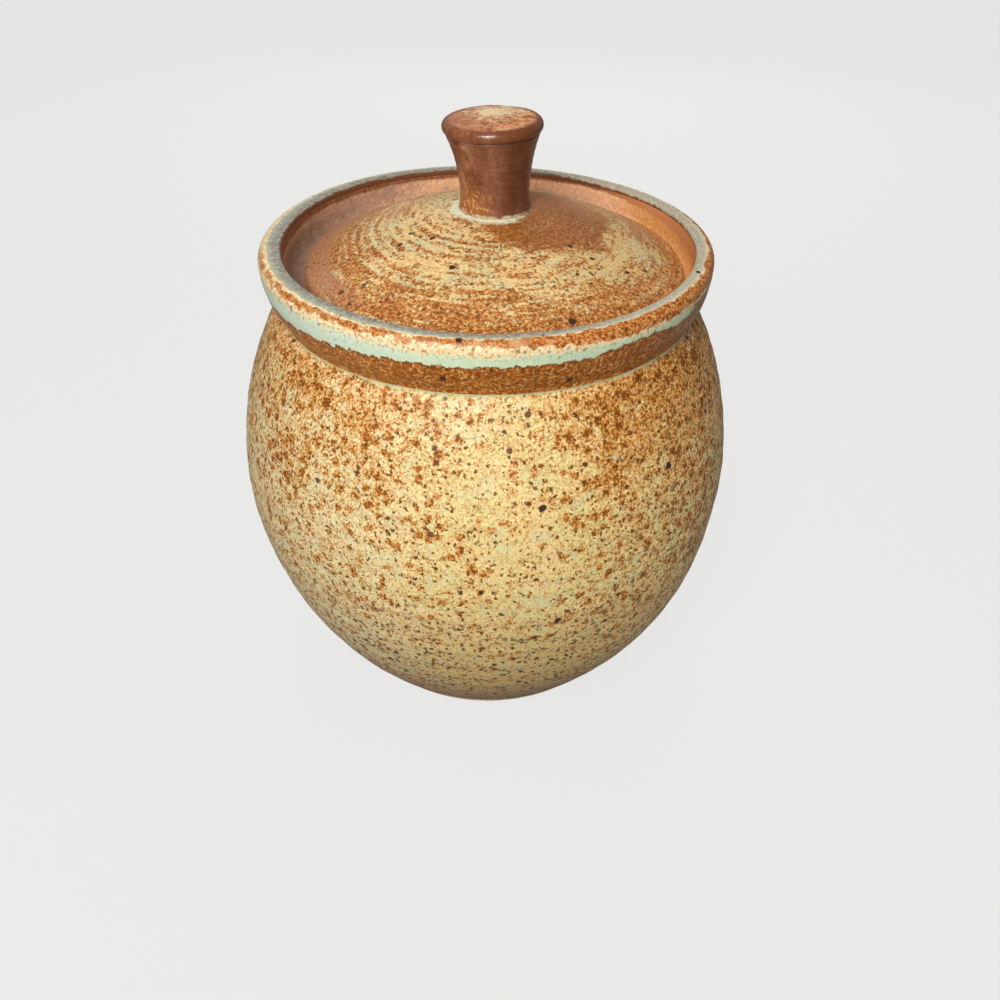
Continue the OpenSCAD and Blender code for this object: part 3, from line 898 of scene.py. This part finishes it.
outline, zones, band = knob_outline()
lid_knob = turned("lid_knob", outline, zones, band, KNOB_SEGMENTS, knob_relief, [knob_glaze()])
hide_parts("knob")
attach(lid_knob, "lid")


# Floor, light and camera
PALE = (0.97, 0.965, 0.95, 1)
FLOOR_HALF = 3.0
FLOOR_GREY = (0.3, 0.3, 0.29, 1)
FLOOR_LIFT = 0.78
FILL = 0.24
BACKDROP = 0.81
LAMP_TARGET = (0, 0, 0.07)
CAMERA_PLACE = (0.0, -0.2172, 0.2005)
CAMERA_DOWN = 36.67
CAMERA_SIDE = 1.03
CAMERA_ROLL = 0.90


def pale_floor():
    """A pale matt sheet. Seen straight it is lifted towards white, and it keeps the shadow."""
    half = FLOOR_HALF
    mesh = bpy.data.meshes.new("floor")
    corners = [(-half, -half, 0), (half, -half, 0), (half, half, 0), (-half, half, 0)]
    mesh.from_pydata(corners, [], [(0, 1, 2, 3)])
    f = Finish("pale_floor", rough=0.9, specular=0.1)
    f.shader.inputs["Base Color"].default_value = FLOOR_GREY
    seen = f.add("ShaderNodeLightPath").outputs["Is Camera Ray"]
    lift = f.add("ShaderNodeEmission", {"Color": PALE, "Strength": 1.0}).outputs[0]
    share = f.scaled(seen, 0, 1, 0, FLOOR_LIFT)
    both = f.add("ShaderNodeMixShader", {0: share, 1: f.shader.outputs[0], 2: lift})
    f.tree.links.new(both.outputs[0], f.tree.nodes["Material Output"].inputs["Surface"])
    mesh.materials.append(f.material)
    sheet = bpy.data.objects.new("floor", mesh)
    bpy.context.scene.collection.objects.link(sheet)


def pale_world():
    """Even soft light from all round, and a pale backdrop where the camera looks past the floor."""
    world = bpy.data.worlds.new("studio")
    world.use_nodes = True
    tree = world.node_tree
    fill = tree.nodes["Background"]
    fill.inputs["Color"].default_value = (1, 1, 1, 1)
    fill.inputs["Strength"].default_value = FILL
    backdrop = tree.nodes.new("ShaderNodeBackground")
    backdrop.inputs["Color"].default_value = PALE
    backdrop.inputs["Strength"].default_value = BACKDROP
    path = tree.nodes.new("ShaderNodeLightPath")
    both = tree.nodes.new("ShaderNodeMixShader")
    tree.links.new(path.outputs["Is Camera Ray"], both.inputs[0])
    tree.links.new(fill.outputs[0], both.inputs[1])
    tree.links.new(backdrop.outputs[0], both.inputs[2])
    tree.links.new(both.outputs[0], tree.nodes["World Output"].inputs["Surface"])
    bpy.context.scene.world = world


def lamp(name, place, size, power, mirrored=True):
    """A square soft lamp at a place, facing the jar, that glossy surfaces mirror or not."""
    light = bpy.data.lights.new(name, "AREA")
    light.size = size
    light.energy = power
    holder = bpy.data.objects.new(name, light)
    holder.visible_glossy = mirrored
    way = Vector(LAMP_TARGET) - Vector(place)
    holder.matrix_world = Matrix.Translation(place) @ way.to_track_quat("-Z", "Y").to_matrix().to_4x4()
    bpy.context.scene.collection.objects.link(holder)


pale_floor()
lamp("key", place=(-0.125, -0.435, 0.49), size=0.22, power=3.15)
lamp("front", place=(-0.08, -0.62, 0.3), size=0.3, power=0.6)
lamp("back", place=(0.04, 0.56, 0.36), size=0.5, power=1.9, mirrored=False)
pale_world()

camera_data = bpy.data.cameras.new("camera")
camera_data.sensor_width = 36.0
camera_data.lens = 36.0
camera_data.clip_start = 0.005
camera = bpy.data.objects.new("camera", camera_data)
camera.matrix_world = (Matrix.Translation(CAMERA_PLACE) @ Matrix.Rotation(math.radians(-CAMERA_SIDE), 4, "Z")
                       @ Matrix.Rotation(math.radians(90 - CAMERA_DOWN), 4, "X")
                       @ Matrix.Rotation(math.radians(CAMERA_ROLL), 4, "Z"))
bpy.context.scene.collection.objects.link(camera)
bpy.context.scene.camera = camera
bpy.context.scene.view_settings.view_transform = "Standard"
